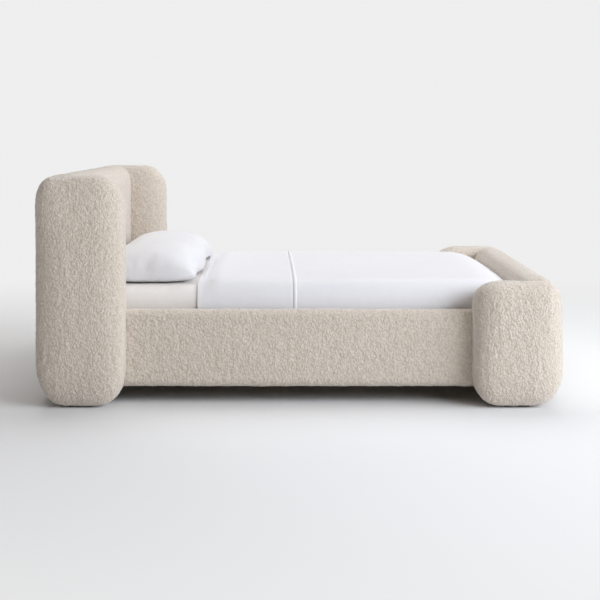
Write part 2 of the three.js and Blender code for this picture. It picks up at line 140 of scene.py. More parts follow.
# The duvet
LAYER_STEP = 0.011
QUILT_STEP = 0.012
QUILT_HANG = 0.352
QUILT_LINING = 0.0046  # height of its underside over the mattress
QUILT_CROWN = 0.010
CROWN_SINK, CROWN_HALF_WIDTH, CROWN_POWER = 0.004, 0.80, 2.5
TOP_FACE = 0.4  # the upward share of the normal where the top starts
QUILT_CREASES = [(0.30, 0.0020, 41), (0.11, 0.0009, 42, (0.6, 1, 1))]
SIDE_CREASES = 0.35  # how much of the creases the sides keep
QUILT_LIP, LIP_REACH = 0.010, 0.11  # thickness at its head edge, and how far in it grows to its full height
QUILT_FLANK, LEAST_FLANK = 0.009, 0.006  # thickness at the sides
QUILT_RIM, RIM_STEP = 0.45, 0.003  # how thick its two end edges stay, and how fast they get there
QUILT_END_GAP = 0.002
QUILT_TAIL, TAIL_ROOM = 0.018, 0.02  # the finely stepped stretch at the foot, and where the even steps stop
FOOT_SINK = 0.180  # how far from its foot end it starts to sink
FOOT_SINK_RADIUS = 0.340
HALF_WIDTH = 0.78  # where the skewed edges of the layers start and end
FOLD_SKEW, FOLD_REACH = 0.040, 0.30

# The cuff
CUFF_LIFT = 0.0024
CUFF_THICK = 0.0015
NOSE_RADIUS, NOSE_HEIGHT = 0.0045, 0.0085  # of the fold at its head edge
NOSE_EASE = 0.06  # the run over which the cuff takes up the quilt's swell
CUFF_UNDER, UNDER_HEIGHT = 0.030, 0.0040  # the part turned under the fold
CUFF_BODY, HEM_ROOM = 0.016, 0.008  # where its even steps start and stop
HEM_SKEW, HEM_REACH = 0.050, 0.22
# The hem: distance back from the cuff's edge, and height over the cuff
HEM_RISE = [
    (0.030, 0.0), (0.024, -0.0003), (0.0205, -0.0015), (0.0180, -0.0015), (0.0155, 0.0008),
    (0.0130, 0.0022), (0.0095, 0.0028), (0.0050, 0.0026), (0.0018, 0.0016), (0.0, -0.0004),
]

# The pillows: node, height, seed, lean, how far the corners hang, turn and shift towards +x
PILLOWS = [
    ("left_pillow", 0.178, 71, 0.02, 0.020, 0.0, -0.010),
    ("right_pillow", 0.192, 72, 0.03, 0.000, math.radians(1.0), 0.004),
]
PILLOW_STEP = 0.0105
PILLOW_SLACK = (1.06, 1.05)  # how much larger the flat cloth is than the plumped pillow
PILLOW_SHARE = 0.995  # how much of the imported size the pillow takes
PILLOW_SEAM = 0.045  # height of the pillows' seam
PILLOW_ROUND = 0.060  # how far the sides curve in towards the corners
PILLOW_FILL = 0.055
PILLOW_PLUMP = (2.3, 3.0, 0.5)  # powers across, along and overall: how full the pillow is out to its edges
UNDERSIDE_SETTLE = 2.4
PILLOW_FILL_POWER = 0.45
PILLOW_RELAX, RELAX_FACTOR = 4, 0.5
UNEVEN_SIZE, PILLOW_UNEVEN = 0.16, 0.003
GATHER_SIZE, PILLOW_GATHERS = 0.034, 0.0012  # small creases that run in from the seams
GATHER_PLACE, GATHER_SPREAD = 0.5, 0.3  # where they lie between the seam and the middle
LEAN_FROM = 0.3
PILLOW_CREASES = 0.17  # how much of the pillows' shape comes from the simulated cloth
PILLOW_GAP = 0.0015
PILLOW_FRAMES = 22
PILLOW_CLOTH = {
    "use_pressure": True,
    "uniform_pressure_force": 4.0,
    "quality": 5,
    "mass": 0.25,
    "tension_stiffness": 20,
    "compression_stiffness": 20,
    "shear_stiffness": 8,
    "bending_stiffness": 3.0,
    "air_damping": 4,
}

# The floor turns into the backdrop between these distances from the bed's middle
FLOOR_END, BACKDROP_START = 1.3, 5.2
FLOOR_HALF = 60
SKY_TURN = 0.3  # towards +x of this the sky is at its full brightness


# ---- numbers

def smooth(t):
    """Eases from 0 to 1 as t does."""
    t = np.clip(t, 0.0, 1.0)
    return t * t * (3 - 2 * t)


def lattice(cell, seed):
    """A repeatable value from -1 to 1 for each whole-number cell."""
    with np.errstate(over="ignore"):
        mixed = cell[..., 0] * np.int64(73856093) ^ cell[..., 1] * np.int64(19349663)
        mixed = mixed ^ cell[..., 2] * np.int64(83492791) ^ np.int64(seed * 1013904223)
        mixed = (mixed ^ (mixed >> np.int64(13))) * np.int64(1274126177)
        mixed = mixed ^ (mixed >> np.int64(16))
    return (mixed & np.int64(0xFFFFF)) / float(0x7FFFF) - 1.0


def noise(points, size, seed=0):
    """Smooth value noise, whose lumps are about `size` across."""
    scaled = np.asarray(points, float) / size
    base = np.floor(scaled).astype(np.int64)
    part = scaled - base
    part = part * part * part * (part * (part * 6 - 15) + 10)
    total = np.zeros(len(scaled))
    for corner in range(8):
        offset = np.array([corner & 1, corner >> 1 & 1, corner >> 2 & 1])
        weight = np.prod(np.where(offset, part, 1 - part), axis=1)
        total += weight * lattice(base + offset, seed)
    return total


# ---- meshes

def make_object(name, verts, faces, smooth_shade=True):
    """A new mesh object in the scene."""
    mesh = bpy.data.meshes.new(name)
    mesh.from_pydata(np.asarray(verts, float).tolist(), [], [list(map(int, f)) for f in faces])
    mesh.validate()
    mesh.update()
    if smooth_shade:
        mesh.shade_smooth()
    obj = bpy.data.objects.new(name, mesh)
    bpy.context.scene.collection.objects.link(obj)
    return obj


def recalc_outward(obj):
    """Welds an object's points and turns its faces outward."""
    bm = bmesh.new()
    bm.from_mesh(obj.data)
    bmesh.ops.remove_doubles(bm, verts=bm.verts, dist=1e-5)
    bmesh.ops.recalc_face_normals(bm, faces=bm.faces)
    bm.to_mesh(obj.data)
    bm.free()
    obj.data.shade_smooth()


def positions(obj):
    """An object's points, one row each."""
    co = np.empty(len(obj.data.vertices) * 3, np.float32)
    obj.data.vertices.foreach_get("co", co)
    return co.reshape(-1, 3).astype(float)


def normals(obj):
    """The outward direction at each of an object's points."""
    flat = np.empty(len(obj.data.vertices) * 3, np.float32)
    obj.data.vertices.foreach_get("normal", flat)
    return flat.reshape(-1, 3).astype(float)


def set_positions(obj, co):
    obj.data.vertices.foreach_set("co", np.asarray(co, np.float32).ravel())
    obj.data.update()


def box_grid(lo, hi, step):
    """The surface of a box as a welded grid of near-square faces.

    Returns the points, from 0 to 1 on each axis, and the faces.
    """
    counts = [max(4, int(round((hi[a] - lo[a]) / step))) for a in range(3)]
    index, verts, faces = {}, [], []

    def vert(i, j, k):
        key = (i, j, k)
        if key not in index:
            index[key] = len(verts)
            verts.append((i / counts[0], j / counts[1], k / counts[2]))
        return index[key]

    for axis in range(3):
        b, c = (axis + 1) % 3, (axis + 2) % 3
        for end in (0, counts[axis]):
            for p in range(counts[b]):
                for q in range(counts[c]):
                    ring = []
                    for dp, dq in ((0, 0), (1, 0), (1, 1), (0, 1)):
                        key = [0, 0, 0]
                        key[axis], key[b], key[c] = end, p + dp, q + dq
                        ring.append(vert(*key))
                    faces.append(ring if end else ring[::-1])
    return np.array(verts), faces


def rounded_box(name, lo, hi, corners, step, power=2.0, waist=(0.0, 0.0)):
    """A box with soft edges. `corners` gives the radii (x, y, z) at each (low or high x, low or high z).

    Radii pass smoothly from one corner to the next. A power above 2 makes the edges fuller than an ellipse.
    `waist` adds to the x radii at the low and high x ends, between the lower and the upper corners.
    """
    lo, hi = np.array(lo, float), np.array(hi, float)
    unit, faces = box_grid(lo, hi, step)
    points = lo + unit * (hi - lo)
    to_x, to_z = smooth(unit[:, :1]), smooth(unit[:, 2:])
    low_z, high_z = [np.array(corners[0, z]) * (1 - to_x) + np.array(corners[1, z]) * to_x for z in (0, 1)]
    radii = low_z * (1 - to_z) + high_z * to_z
    height = unit[:, 2]
    between = smooth((np.minimum(height, 1 - height) - WAIST_START) / WAIST_REACH)
    radii[:, 0] += between * (waist[0] * (1 - to_x[:, 0]) + waist[1] * to_x[:, 0])
    core = np.clip(points, lo + radii, hi - radii)
    scaled = (points - core) / radii
    length = (np.abs(scaled) ** power).sum(1, keepdims=True) ** (1 / power)
    return make_object(name, core + scaled / np.maximum(length, 1e-9) * radii, faces)


def rounded_outline(lo, hi, radii, step, power=2.0):
    """A closed rounded rectangle, as points and outward normals.

    It runs anticlockwise from the low-low corner, and the radii are in the same order.
    """
    (u0, v0), (u1, v1) = lo, hi
    corners = [
        (u0, v0, radii[0], math.pi),
        (u1, v0, radii[1], 1.5 * math.pi),
        (u1, v1, radii[2], 0.0),
        (u0, v1, radii[3], 0.5 * math.pi),
    ]
    points, outward = [], []
    for n, (u, v, r, start) in enumerate(corners):
        cu = u + r if u == u0 else u - r
        cv = v + r if v == v0 else v - r
        count = max(3, int(math.ceil(r * math.pi / 2 / step)))
        for i in range(count + 1):
            a = start + i / count * math.pi / 2
            c, s = math.cos(a), math.sin(a)
            fuller = (abs(c) ** power + abs(s) ** power) ** (1 / power)
            points.append((cu + r * c / fuller, cv + r * s / fuller))
            outward.append((c, s))
        u2, v2, r2, start2 = corners[(n + 1) % 4]
        nu = (u2 + r2 if u2 == u0 else u2 - r2) + r2 * math.cos(start2)
        nv = (v2 + r2 if v2 == v0 else v2 - r2) + r2 * math.sin(start2)
        pu, pv = points[-1]
        run = math.hypot(nu - pu, nv - pv)
        for i in range(1, max(1, int(run / step))):
            t = i / max(1, int(run / step))
            points.append((pu + (nu - pu) * t, pv + (nv - pv) * t))
            outward.append(outward[-1])
    return np.array(points), np.array(outward)


def loft(name, outline, outward, stations, to_axes):
    """A closed body from an outline carried through stations (distance, inset).

    `to_axes` puts (u, v, distance) on the axes.
    """
    rings = [
        to_axes(outline[:, 0] - outward[:, 0] * inset, outline[:, 1] - outward[:, 1] * inset, distance)
        for distance, inset in stations
    ]
    count = len(outline)
    verts = np.concatenate(rings)
    faces = []
    for s in range(len(stations) - 1):
        for i in range(count):
            j = (i + 1) % count
            faces.append((s * count + i, s * count + j, (s + 1) * count + j, (s + 1) * count + i))
    centres = [rings[0].mean(0), rings[-1].mean(0)]
    verts = np.concatenate([verts, centres])
    for i in range(count):
        j = (i + 1) % count
        faces.append((len(verts) - 2, j, i))
        last = (len(stations) - 1) * count
        faces.append((len(verts) - 1, last + i, last + j))
    obj = make_object(name, verts, faces)
    recalc_outward(obj)
    return obj


def end_stations(start, end, edge, step):
    """Distances from start to end, with the ends rounded off by `edge`."""
    arc = np.linspace(0, math.pi / 2, 5)
    first = [(start + edge * (1 - math.sin(a)), edge * (1 - math.cos(a))) for a in arc[::-1]]
    middle = np.linspace(start + edge, end - edge, max(2, int((end - start - 2 * edge) / step)))[1:-1]
    last = [(end - edge * (1 - math.sin(a)), edge * (1 - math.cos(a))) for a in arc]
    return first + [(d, 0.0) for d in middle] + last


# ---- boucle covers

def boucle_relief(obj, seed):
    """Pushes a padded piece's surface out and in by the nubs and curled loops of its yarn."""
    co, out = positions(obj), normals(obj)
    tall = co * np.array([1.0, 1.0, RELIEF_HEIGHT])
    warp = np.stack([noise(tall, WARP_SIZE, seed + n) for n in range(3)], axis=1) * WARP_REACH
    nub = noise(tall + warp, NUB_SIZE, seed + 5)
    loop = 1 - 2 * np.abs(noise(tall + warp, LOOP_SIZE, seed + 9))
    hollow = noise(co, HOLLOW_SIZE, seed + 13)
    lift = NUB_LIFT * nub + LOOP_LIFT * loop + HOLLOW_LIFT * hollow
    set_positions(obj, co + out * lift[:, None])
    obj.data.shade_smooth()


def crown(obj, lo, hi, axis, amount, power=0.5):
    """Swells the two faces across an axis, most in the middle."""
    co, out = positions(obj), normals(obj)
    share = np.ones(len(co))
    for a in range(3):
        if a != axis:
            t = (co[:, a] - lo[a]) / (hi[a] - lo[a])
            share *= np.clip(4 * t * (1 - t), 0, 1) ** power
    co[:, axis] += out[:, axis] * share * amount
    set_positions(obj, co)


def cover_wing(node, seed):
    """A wing's cushion-like cover: soft all round, with a waist at its outer edge."""
    lo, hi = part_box(node)
    lo, hi = lo + Vector([NUB_ROOM] * 3), hi - Vector([NUB_ROOM] * 3)
    end = "head" if hi.x < 0 else "foot"
    inner_top, outer_top, inner_base, outer_base = WING_CORNERS[end]
    lo.x += WING_EASE[end][0]
    hi.x += WING_EASE[end][1]
    side = (hi.y - lo.y) / 2 - WING_RIDGE
    inner_at = 1 if hi.x < 0 else 0
    corners = {
        (inner_at, 0): (inner_base[0], WING_SOLE, inner_base[1]),
        (inner_at, 1): (inner_top[0], side, inner_top[1]),
        (1 - inner_at, 0): (outer_base[0], WING_SOLE, outer_base[1]),
        (1 - inner_at, 1): (outer_top[0], side, outer_top[1]),
    }
    waist = (WING_WAIST["head"], 0.0) if end == "head" else (0.0, WING_WAIST["foot"])
    obj = rounded_box(node + "_boucle", lo, hi, corners, WING_STEP, SOFT_POWER, waist)
    crown(obj, lo, hi, 1, WING_SWELL_Y)
    crown(obj, lo, hi, 2, WING_SWELL_Z)
    boucle_relief(obj, seed)
    return obj


def cover_panel(node, seed):
    """The padded panel between two wings, fully rounded along its top."""
    lo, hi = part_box(node)
    top = (hi.x - lo.x) / 2 - PANEL_RIDGE
    radii = (PANEL_BASE_RADIUS, PANEL_BASE_RADIUS, top, top)
    outline, outward = rounded_outline((lo.x, lo.z), (hi.x, hi.z), radii, PANEL_STEP, SOFT_POWER)
    stations = end_stations(lo.y, hi.y, PANEL_END_RADIUS, PANEL_STEP)

    def to_axes(u, v, distance):
        return np.stack([u, np.full_like(u, distance), v], axis=1)

    obj = loft(node + "_boucle", outline, outward, stations, to_axes)
    crown(obj, lo, hi, 0, PANEL_SWELL)
    boucle_relief(obj, seed)
    return obj


def cover_rail(node, seed):
    """A side rail's cover, rounder outside than against the mattress."""
    lo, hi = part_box(node)
    low_y, high_y = RAIL_INNER_RADIUS, RAIL_OUTER_RADIUS
    if hi.y < 0:
        low_y, high_y = high_y, low_y
    radii = (low_y, high_y, high_y, low_y)
    outline, outward = rounded_outline((lo.y, lo.z), (hi.y, hi.z), radii, RAIL_STEP)
    stations = end_stations(lo.x, hi.x, RAIL_END_RADIUS, RAIL_STEP)

    def to_axes(u, v, distance):
        return np.stack([np.full_like(u, distance), u, v], axis=1)

    obj = loft(node + "_boucle", outline, outward, stations, to_axes)
    boucle_relief(obj, seed)
    return obj


def meet_wing(rail, wing, towards):
    """Draws a rail's end out until it sinks a little into the wing that it butts against."""
    tree = BVHTree.FromObject(wing, bpy.context.evaluated_depsgraph_get())
    wing_at = positions(wing)
    y_lo, y_hi = wing_at[:, 1].min() + WING_EDGE, wing_at[:, 1].max() - WING_EDGE
    co = positions(rail)
    end = co[:, 0].max() if towards > 0 else co[:, 0].min()
    for i in np.nonzero(np.abs(co[:, 0] - end) < RAIL_BLEND)[0]:
        x, y, z = map(float, co[i])
        hit = tree.ray_cast(Vector((0.0, min(max(y, y_lo), y_hi), z)), Vector((towards, 0.0, 0.0)))[0]
        if hit is not None:
            share = float(smooth(1 - abs(x - end) / RAIL_BLEND))
            co[i, 0] = x + (hit.x + towards * RAIL_TUCK - end) * share
    set_positions(rail, co)


# ---- bedding

class Bedding:
    """The mattress's shape, and the layers of cloth that follow it from one side of the bed to the other."""

    def __init__(self):
        self.lo, self.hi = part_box("mattress")
        self.corners = {
            (0, 0): (MATTRESS_EDGE, MATTRESS_EDGE, MATTRESS_SOLE),
            (1, 0): (FOOT_ROUND, MATTRESS_EDGE, MATTRESS_SOLE),
            (0, 1): (MATTRESS_EDGE, MATTRESS_EDGE, MATTRESS_EDGE),
            (1, 1): (FOOT_ROUND, MATTRESS_EDGE, MATTRESS_EDGE),
        }

    def body(self, name, grow, step):
        """The mattress's own shape, grown all round."""
        room = Vector([grow] * 3)
        return rounded_box(name, self.lo - room, self.hi + room, self.corners, step)

    def across(self, hang, step=LAYER_STEP):
        """Points (y, z) and outward normals from the near side at height `hang` to the far side."""
        lo, hi, r = self.lo, self.hi, MATTRESS_EDGE
        side = np.linspace(hang, hi.z - r, max(3, int((hi.z - r - hang) / step)))
        arc = np.linspace(0, math.pi / 2, 11)[1:-1]
        top = np.linspace(lo.y + r, hi.y - r, int((hi.y - lo.y - 2 * r) / step))
        near = [(lo.y, z, -1.0, 0.0) for z in side]
        for a in arc:
            back, rise = math.cos(a), math.sin(a)
            near.append((lo.y + r - r * back, hi.z - r + r * rise, -back, rise))
        far = [(-y, z, -ny, nz) for y, z, ny, nz in near[::-1]]
        rows = np.array(near + [(y, hi.z, 0.0, 1.0) for y in top] + far)
        return rows[:, :2], rows[:, 2:]

    def end_inset(self, x):
        """How far the mattress's rounded foot end lies inside its straight outline."""
        t = min(max((x - self.hi.x + FOOT_ROUND) / FOOT_ROUND, 0.0), 1.0)
        return MATTRESS_EDGE * (1 - math.sqrt(1 - t * t))

    def grid(self, columns, hang):
        """Points and outward normals of a layer. Columns are (x, height on top, height at the sides)."""
        points, outward = self.across(hang)
        up = outward[:, 1] ** 2
        verts, out = [], []
        for x, top, flank in columns:
            yz = points + outward * (flank + (top - flank) * up - self.end_inset(x))[:, None]
            verts.append(np.column_stack([np.full(len(yz), x), yz]))
            out.append(np.column_stack([np.zeros(len(yz)), outward]))
        return np.array(verts), np.array(out)


def grid_faces(rows, count, start=0, flip=False):
    """Faces over a grid of points whose first index is `start`."""
    faces = []
    for c in range(rows - 1):
        for i in range(count - 1):
            a = start + c * count + i
            ring = (a, a + count, a + count + 1, a + 1)
            faces.append(ring[::-1] if flip else ring)
    return faces


def shell(name, outer, inner):
    """A closed quilt between two layers of the same grid."""
    rows, count, _ = outer.shape
    verts = np.concatenate([outer.reshape(-1, 3), inner.reshape(-1, 3)])
    size = rows * count
    faces = grid_faces(rows, count) + grid_faces(rows, count, size, True)
    rim = list(range(count))
    rim += [row * count + count - 1 for row in range(1, rows)]
    rim += [(rows - 1) * count + i for i in range(count - 2, -1, -1)]
    rim += [row * count for row in range(rows - 2, 0, -1)]
    faces += [(p, q, q + size, p + size) for p, q in zip(rim, rim[1:] + rim[:1])]
    obj = make_object(name, verts, faces)
    recalc_outward(obj)
    return obj


def solidify(obj, thickness):
    """Gives a layer its thickness, on the inner side."""
    thick = obj.modifiers.new("thickness", "SOLIDIFY")
    thick.thickness = thickness
    thick.offset = -1.0
    apply_modifiers(obj)


def apply_modifiers(obj):
    """Keeps the shape that an object's modifiers give it, and removes them."""
    graph = bpy.context.evaluated_depsgraph_get()
    made = bpy.data.meshes.new_from_object(obj.evaluated_get(graph))
    obj.modifiers.clear()
    obj.data = made
    obj.data.shade_smooth()


def wrinkles(verts, size, amount, seed, stretch=(1.0, 1.0, 1.0)):
    """Heights of soft creases about `size` across, longer along the axes whose stretch is below 1."""
    flat = verts.reshape(-1, 3) * np.array(stretch)
    return (noise(flat, size, seed) * amount).reshape(verts.shape[:-1])


def make_mattress(bedding):
    """The mattress, with stitched diamonds on its flat faces."""
    obj = bedding.body("mattress_body", 0.0, MATTRESS_STEP)
    co, out = positions(obj), normals(obj)
    flat = np.abs(out[:, 2]) > FACE
    one_way = np.sin((co[:, 0] + co[:, 1]) * math.pi / QUILTING)
    other_way = np.sin((co[:, 0] - co[:, 1]) * math.pi / QUILTING)
    puff = np.abs(one_way * other_way) ** QUILTING_POWER
    lift = np.where(flat, -QUILTING_DEPTH * (1 - puff), 0.0)
    set_positions(obj, co + out * lift[:, None])
    return obj


def make_fitted_sheet(bedding):
    """The sheet is drawn over the whole mattress and ends a little above its base, so it covers both ends
    too.
    """
    obj = bedding.body("fitted_sheet_cloth", SHEET_GAP, SHEET_STEP)
    co, out = positions(obj), normals(obj)
    lift = SHEET_LIFT
    for crease in SHEET_CREASES:
        lift = lift + wrinkles(co, *crease)
    set_positions(obj, co + out * lift[:, None])
    bm = bmesh.new()
    bm.from_mesh(obj.data)
    tucked = [v for v in bm.verts if v.co.z < bedding.lo.z + SHEET_TUCK]
    bmesh.ops.delete(bm, geom=tucked, context="VERTS")
    bmesh.ops.recalc_face_normals(bm, faces=bm.faces)
    bm.to_mesh(obj.data)
    bm.free()
    solidify(obj, SHEET_THICK)
    return obj


class Quilt:
    """The duvet's outer surface, which the cuff follows too."""

    def __init__(self, bedding):
        lo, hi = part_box("duvet")
        self.start, self.end = lo.x, hi.x
        self.top = hi.z - bedding.hi.z
        self.bedding = bedding

    def height(self, x):
        """Height over the top of the mattress: thin at the head edge, and sinking towards the foot."""
        rise = QUILT_LIP + (self.top - QUILT_LIP) * smooth((x - self.start) / LIP_REACH)
        t = max(x - self.end + FOOT_SINK, 0.0)
        sink = FOOT_SINK_RADIUS - math.sqrt(FOOT_SINK_RADIUS ** 2 - t * t)
        return float(rise) - sink + self.bedding.end_inset(x)

    def column(self, x, lift=0.0):
        """A column for Bedding.grid: the sides sink half as much as the top does towards the foot."""
        flank = QUILT_FLANK + 0.5 * (self.height(x) - self.top) * (x > self.end - FOOT_SINK)
        return (x, self.height(x) + lift, max(flank, LEAST_FLANK) + lift)

    def swell(self, verts, out):
        """Fuller along the middle, falling to the edges, and softly uneven."""
        up = smooth((out[..., 2] - TOP_FACE) / (1 - TOP_FACE))
        across = (1 - (np.abs(verts[..., 1]) / CROWN_HALF_WIDTH) ** CROWN_POWER).clip(0)
        soft = sum(wrinkles(verts, *crease) for crease in QUILT_CREASES)
        return up * (QUILT_CROWN * across - CROWN_SINK) + soft * (SIDE_CREASES + (1 - SIDE_CREASES) * up)


def skewed(verts, from_x, amount, reach=FOLD_REACH):
    """Moves a layer's edge towards the head at the far side, as a hand-made bed has it."""
    share = 1 - smooth(np.abs(verts[..., 0] - from_x) / reach)
    verts = verts.copy()
    verts[..., 0] -= amount * share * (verts[..., 1] + HALF_WIDTH) / (2 * HALF_WIDTH)
    return verts


def make_duvet(bedding, quilt):
    """The quilt, closed all round, thin at its head edge and soft at the foot."""
    start, end = quilt.start + QUILT_STEP, quilt.end - QUILT_END_GAP
    xs = np.concatenate([
        [start, start + RIM_STEP],
        np.arange(start + QUILT_STEP, end - TAIL_ROOM, QUILT_STEP),
        np.linspace(end - QUILT_TAIL, end, 5),
    ])
    outer, out = bedding.grid([quilt.column(x) for x in xs], QUILT_HANG)
    inner, _ = bedding.grid([(x, QUILT_LINING, QUILT_LINING) for x in xs], QUILT_HANG)
    outer = outer + out * quilt.swell(outer, out)[..., None]
    outer[[0, -1]] = outer[[0, -1]] * QUILT_RIM + inner[[0, -1]] * (1 - QUILT_RIM)
    return shell("duvet_quilt", skewed(outer, start, FOLD_SKEW), skewed(inner, start, FOLD_SKEW))


def make_cuff(bedding, quilt):
    """The sheet's end, folded back over the duvet, with a stitched hem along its free edge."""
    lo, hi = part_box("top_sheet_cuff")
    start, end = lo.x, hi.x
    columns = [(start + CUFF_UNDER, UNDER_HEIGHT, UNDER_HEIGHT)]
    for a in np.linspace(-math.pi / 2, math.pi / 2, 9):
        height = NOSE_HEIGHT + NOSE_RADIUS * math.sin(a)
        columns.append((start + NOSE_RADIUS * (1 - math.cos(a)), height, height))
    body = np.arange(start + CUFF_BODY, end - HEM_RISE[0][0] - HEM_ROOM, LAYER_STEP)
    columns += [quilt.column(x, CUFF_LIFT) for x in body]
    columns += [quilt.column(end - back, CUFF_LIFT + rise) for back, rise in HEM_RISE]
    verts, out = bedding.grid(columns, QUILT_HANG)
    share = smooth((verts[..., 0] - start - NOSE_RADIUS) / NOSE_EASE)
    share[0] = 0.0
    verts = verts + out * (quilt.swell(verts, out) * share)[..., None]
    verts = skewed(skewed(verts, start, FOLD_SKEW), end, HEM_SKEW, HEM_REACH)
    obj = make_object("top_sheet_cuff_cloth", verts.reshape(-1, 3), grid_faces(len(columns), verts.shape[1]))
    solidify(obj, CUFF_THICK)
    return obj


def flat_pillow(name, width, length):
    """Two layers of cloth joined all round, lightly filled: a pillow before it is plumped up.

    Returns the object and each point's place (u, v, side), from -1 to 1, on the flat pillow.
    """
    nx, ny = int(width / PILLOW_STEP), int(length / PILLOW_STEP)
    verts, faces, index, places = [], [], {}, []

    def vert(i, j, side):
        rim = i in (0, nx) or j in (0, ny)
        key = (i, j, 0 if rim else side)
        if key not in index:
            index[key] = len(verts)
            u, v = 2 * i / nx - 1, 2 * j / ny - 1
            round_u, round_v = 1 - PILLOW_ROUND * v ** 4, 1 - PILLOW_ROUND * u ** 4
            places.append((u, v, key[2]))
            swell = PILLOW_FILL * ((1 - u * u) * (1 - v * v)) ** PILLOW_FILL_POWER * key[2]
            verts.append((u * width / 2 * round_u, v * length / 2 * round_v, swell))
        return index[key]

    for side in (1, -1):
        for i in range(nx):
            for j in range(ny):
                ring = [vert(i + di, j + dj, side) for di, dj in ((0, 0), (1, 0), (1, 1), (0, 1))]
                faces.append(ring if side > 0 else ring[::-1])
    return make_object(name, verts, faces), np.array(places)


def inflate(obj):
    """Blows a flat pillow up as cloth, without gravity, so that it creases along its seams."""
    cloth = obj.modifiers.new("Cloth", "CLOTH")
    for setting, value in PILLOW_CLOTH.items():
        setattr(cloth.settings, setting, value)
    cloth.settings.effector_weights.gravity = 0.0
    cloth.collision_settings.use_collision = False
    cloth.point_cache.frame_start = 1
    cloth.point_cache.frame_end = PILLOW_FRAMES
    scene = bpy.context.scene
    for step in range(1, PILLOW_FRAMES + 1):
        scene.frame_set(step)
    relax = obj.modifiers.new("relax", "SMOOTH")
    relax.factor = RELAX_FACTOR
    relax.iterations = PILLOW_RELAX
    apply_modifiers(obj)
    scene.frame_set(1)


def make_pillow(node, height, seed, lean, droop, turn, shift):
    """A plump pillow resting on the mattress, with the creases that its cloth takes when it is blown up."""
    lo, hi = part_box(node)
    width, length = hi.x - lo.x, hi.y - lo.y
    obj, places = flat_pillow(node + "_cloth", width * PILLOW_SLACK[0], length * PILLOW_SLACK[1])
    inflate(obj)
    co = positions(obj)
    co -= (co.max(0) + co.min(0)) / 2
    span = co.max(0) - co.min(0)
    co[:, 0] *= width * PILLOW_SHARE / span[0]
    co[:, 1] *= length * PILLOW_SHARE / span[1]
    u, v, side = places.T
    plan_x = u * width / 2 * (1 - PILLOW_ROUND * v ** 4)
    plan_y = v * length / 2 * (1 - PILLOW_ROUND * u ** 4)
    plan = np.stack([plan_x, plan_y], axis=1)
    co[:, :2] = plan + (co[:, :2] - plan) * PILLOW_CREASES * 2
    across, along, overall = PILLOW_PLUMP
    plump = ((1 - np.abs(u) ** across) * (1 - np.abs(v) ** along)) ** overall * side
    z = (1 - PILLOW_CREASES) * plump + PILLOW_CREASES * co[:, 2] / (span[2] / 2)
    up, down = height - PILLOW_SEAM, PILLOW_SEAM
    z = np.where(z > 0, z * up, -down * (1 - np.exp(z * UNDERSIDE_SETTLE)))
    z += noise(co, UNEVEN_SIZE, seed) * PILLOW_UNEVEN * smooth(plump)
    gathered = np.exp(-((np.abs(plump) - GATHER_PLACE) / GATHER_SPREAD) ** 2)
    z += noise(co, GATHER_SIZE, seed + 5) * PILLOW_GATHERS * gathered
    z -= droop * (u * v) ** 4
    z += lean * co[:, 0] * smooth(plump + LEAN_FROM)
    co[:, 2] = z - z.min()
    co[:, 0] += co[:, 1] * math.sin(turn)
    co += np.array([(lo.x + hi.x) / 2 + shift, (lo.y + hi.y) / 2, lo.z + PILLOW_GAP])
    set_positions(obj, co)
    more = obj.modifiers.new("smooth", "SUBSURF")
    more.levels = more.render_levels = 1
    apply_modifiers(obj)
    return obj


# ---- materials

